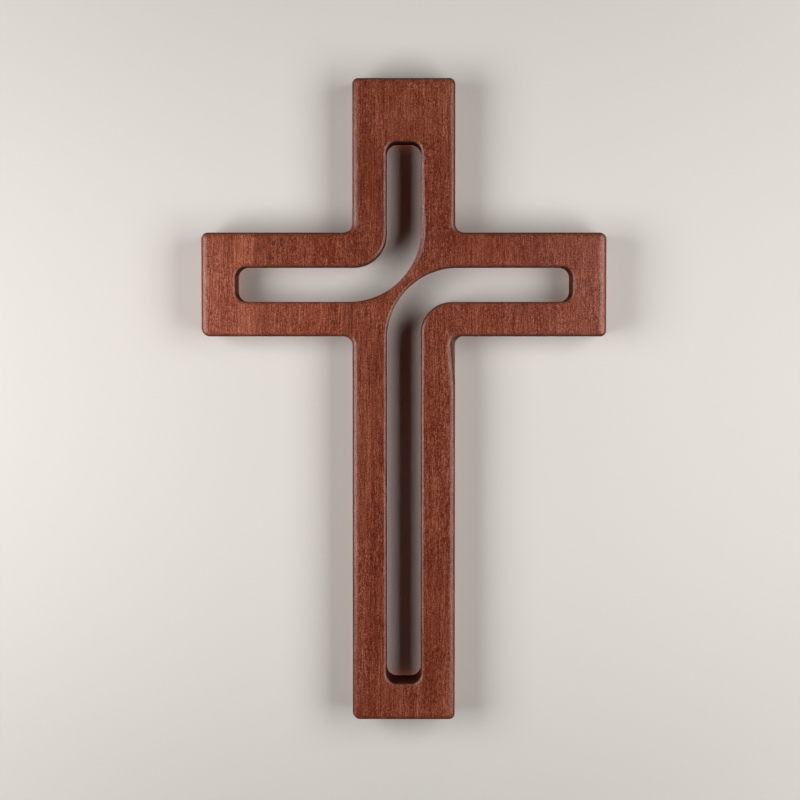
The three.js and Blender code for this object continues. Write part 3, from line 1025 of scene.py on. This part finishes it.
def make_wall(stage):
    """A pale wall close behind the cross: lit near it, evenly pale far out, and clear from behind."""
    gap, size, roughness = 0.1 * MM, 8, 0.9
    fade_from, fade_to = 0.20, 0.42
    behind = cad_high.y + gap
    bpy.ops.object.select_all(action="DESELECT")
    bpy.ops.mesh.primitive_plane_add(size=size, location=(0, behind, 0), rotation=(math.radians(90), 0, 0))
    wall = bpy.context.object
    wall.name = "wall"
    bpy.ops.object.transform_apply(location=True, rotation=True, scale=True)
    material = bpy.data.materials.new("pale wall")
    material.use_nodes = True
    bench = Bench(material.node_tree)
    ray = bench.add("ShaderNodeLightPath").outputs
    paint = bench.nodes["Principled BSDF"]
    paint.inputs["Roughness"].default_value = roughness
    seen = bench.maths("MAXIMUM", ray["Is Camera Ray"], ray["Is Glossy Ray"])
    bench.put(paint.inputs["Base Color"], bench.blend(seen, tuple(stage.bounce), tuple(stage.wall)))

    centre = (0, behind, (cad_low.z + cad_high.z) / 2)
    place = bench.add("ShaderNodeTexCoord").outputs["Object"]
    from_centre = bench.add("ShaderNodeVectorMath", {"operation": "DISTANCE"})
    bench.fill(from_centre, place, centre)
    far = bench.spread(from_centre.outputs["Value"], fade_from, fade_to)
    glow = bench.add("ShaderNodeEmission", Color=(*stage.wall, 1)).outputs[0]
    faded = bench.fill(bench.add("ShaderNodeMixShader"), bench.times(far, seen), paint.outputs["BSDF"], glow)

    short = bench.maths("LESS_THAN", ray["Ray Length"], 1.3 * behind)
    backlit = bench.times(short, bench.maths("MAXIMUM", ray["Is Shadow Ray"], ray["Is Diffuse Ray"]))
    away = bench.maths("MAXIMUM", backlit, bench.add("ShaderNodeNewGeometry").outputs["Backfacing"])
    clear = bench.add("ShaderNodeBsdfTransparent").outputs[0]
    mixed = bench.fill(bench.add("ShaderNodeMixShader"), away, faded, clear)
    bench.put(bench.nodes["Material Output"].inputs["Surface"], mixed)
    wall.data.materials.append(material)


def make_lamps(stage):
    """Soft lamps: two in front, a weak one overhead, and two behind the wall for the back.

    Each has a bearing in degrees from straight ahead, seen from above, its distance, its height and the
    height that it is aimed at, its width and height, and its share of the lamp power.
    """
    level, top = cad_high.z - 150 * MM, cad_high.z
    for name, degrees, distance, height, aim, size, share in (
        ("right_lamp", 41.5, 0.5, level, level, (0.28, 0.52), 1),
        ("left_lamp", -45.5, 0.5, level, level, (0.29, 0.38), 1),
        ("top_lamp", 0, 0.12, top + 0.6, top, (0.3, 0.3), 0.3),
        ("back_lamp", 172, 1.0, 0.1, level, (0.3, 0.3), 4),
        ("back_fill", -168, 1.2, level, level, (0.6, 0.6), 3),
    ):
        bearing = math.radians(degrees)
        data = bpy.data.lights.new(name, "AREA")
        data.shape = "RECTANGLE"
        data.size, data.size_y = size
        data.energy = stage.lamp_power * share
        lamp = bpy.data.objects.new(name, data)
        bpy.context.collection.objects.link(lamp)
        lamp.location = Vector((distance * math.sin(bearing), -distance * math.cos(bearing), height))
        lamp.rotation_euler = (Vector((0, 0, aim)) - lamp.location).to_track_quat("-Z", "Y").to_euler()
        lamp.visible_camera = False


def make_world(scene, stage):
    """Pale to the camera all round and to gloss behind the wall, dim in front of it and to all else."""
    dim = 0.008
    world = bpy.data.worlds.new("studio")
    scene.world = world
    world.use_nodes = True
    bench = Bench(world.node_tree)
    background = bench.nodes["Background"]
    ray = bench.add("ShaderNodeLightPath").outputs
    direction = bench.add("ShaderNodeTexCoord").outputs["Generated"]
    behind = bench.spread(bench.add("ShaderNodeSeparateXYZ", Vector=direction).outputs["Y"], -0.1, 0.3)
    reflected = bench.maths("MAXIMUM", ray["Is Glossy Ray"], ray["Is Transmission Ray"])
    pale = bench.maths("MAXIMUM", ray["Is Camera Ray"], bench.times(reflected, behind))
    bench.fill(background, (*stage.wall, 1), bench.spread(pale, 0, 1, dim, 1))


def make_camera(stage):
    data = bpy.data.cameras.new("camera")
    data.lens = stage.lens
    data.sensor_width = 36
    data.shift_y = -stage.camera_shift
    camera = bpy.data.objects.new("camera", data)
    bpy.context.collection.objects.link(camera)
    camera.location = (0, cad_low.y - stage.camera_distance, cad_high.z - stage.camera_height)
    camera.rotation_euler = (math.radians(90) - stage.camera_tilt, 0, stage.camera_pan)
    bpy.context.scene.camera = camera


class CROSS_PT_sidebar(bpy.types.Panel):
    bl_label = "Wall Cross"
    bl_idname = "CROSS_PT_sidebar"
    bl_space_type = "VIEW_3D"
    bl_region_type = "UI"
    bl_category = "Wall Cross"

    def draw(self, context):
        for name in GROUPS:
            group = getattr(context.scene, name)
            for key in group.bl_rna.properties.keys():
                if key not in ("rna_type", "name"):
                    self.layout.prop(group, key)
        for operator in OPERATORS:
            self.layout.operator(operator.bl_idname)


GROUPS = {"cross_sizes": CrossSizes, "hanger_sizes": HangerSizes, "cross_stage": CrossStage}
OPERATORS = (CROSS_OT_stage, CROSS_OT_staves, CROSS_OT_hanger)
CLASSES = (*GROUPS.values(), *OPERATORS, CROSS_PT_sidebar)


def register():
    for cls in CLASSES:
        bpy.utils.register_class(cls)
    for name, group in GROUPS.items():
        setattr(bpy.types.Scene, name, bpy.props.PointerProperty(type=group))


def unregister():
    for name in GROUPS:
        delattr(bpy.types.Scene, name)
    for cls in reversed(CLASSES):
        bpy.utils.unregister_class(cls)


def main():
    register()
    bpy.ops.cross.stage()
    bpy.ops.cross.staves()
    bpy.ops.cross.hanger()


if __name__ == "__main__":
    main()
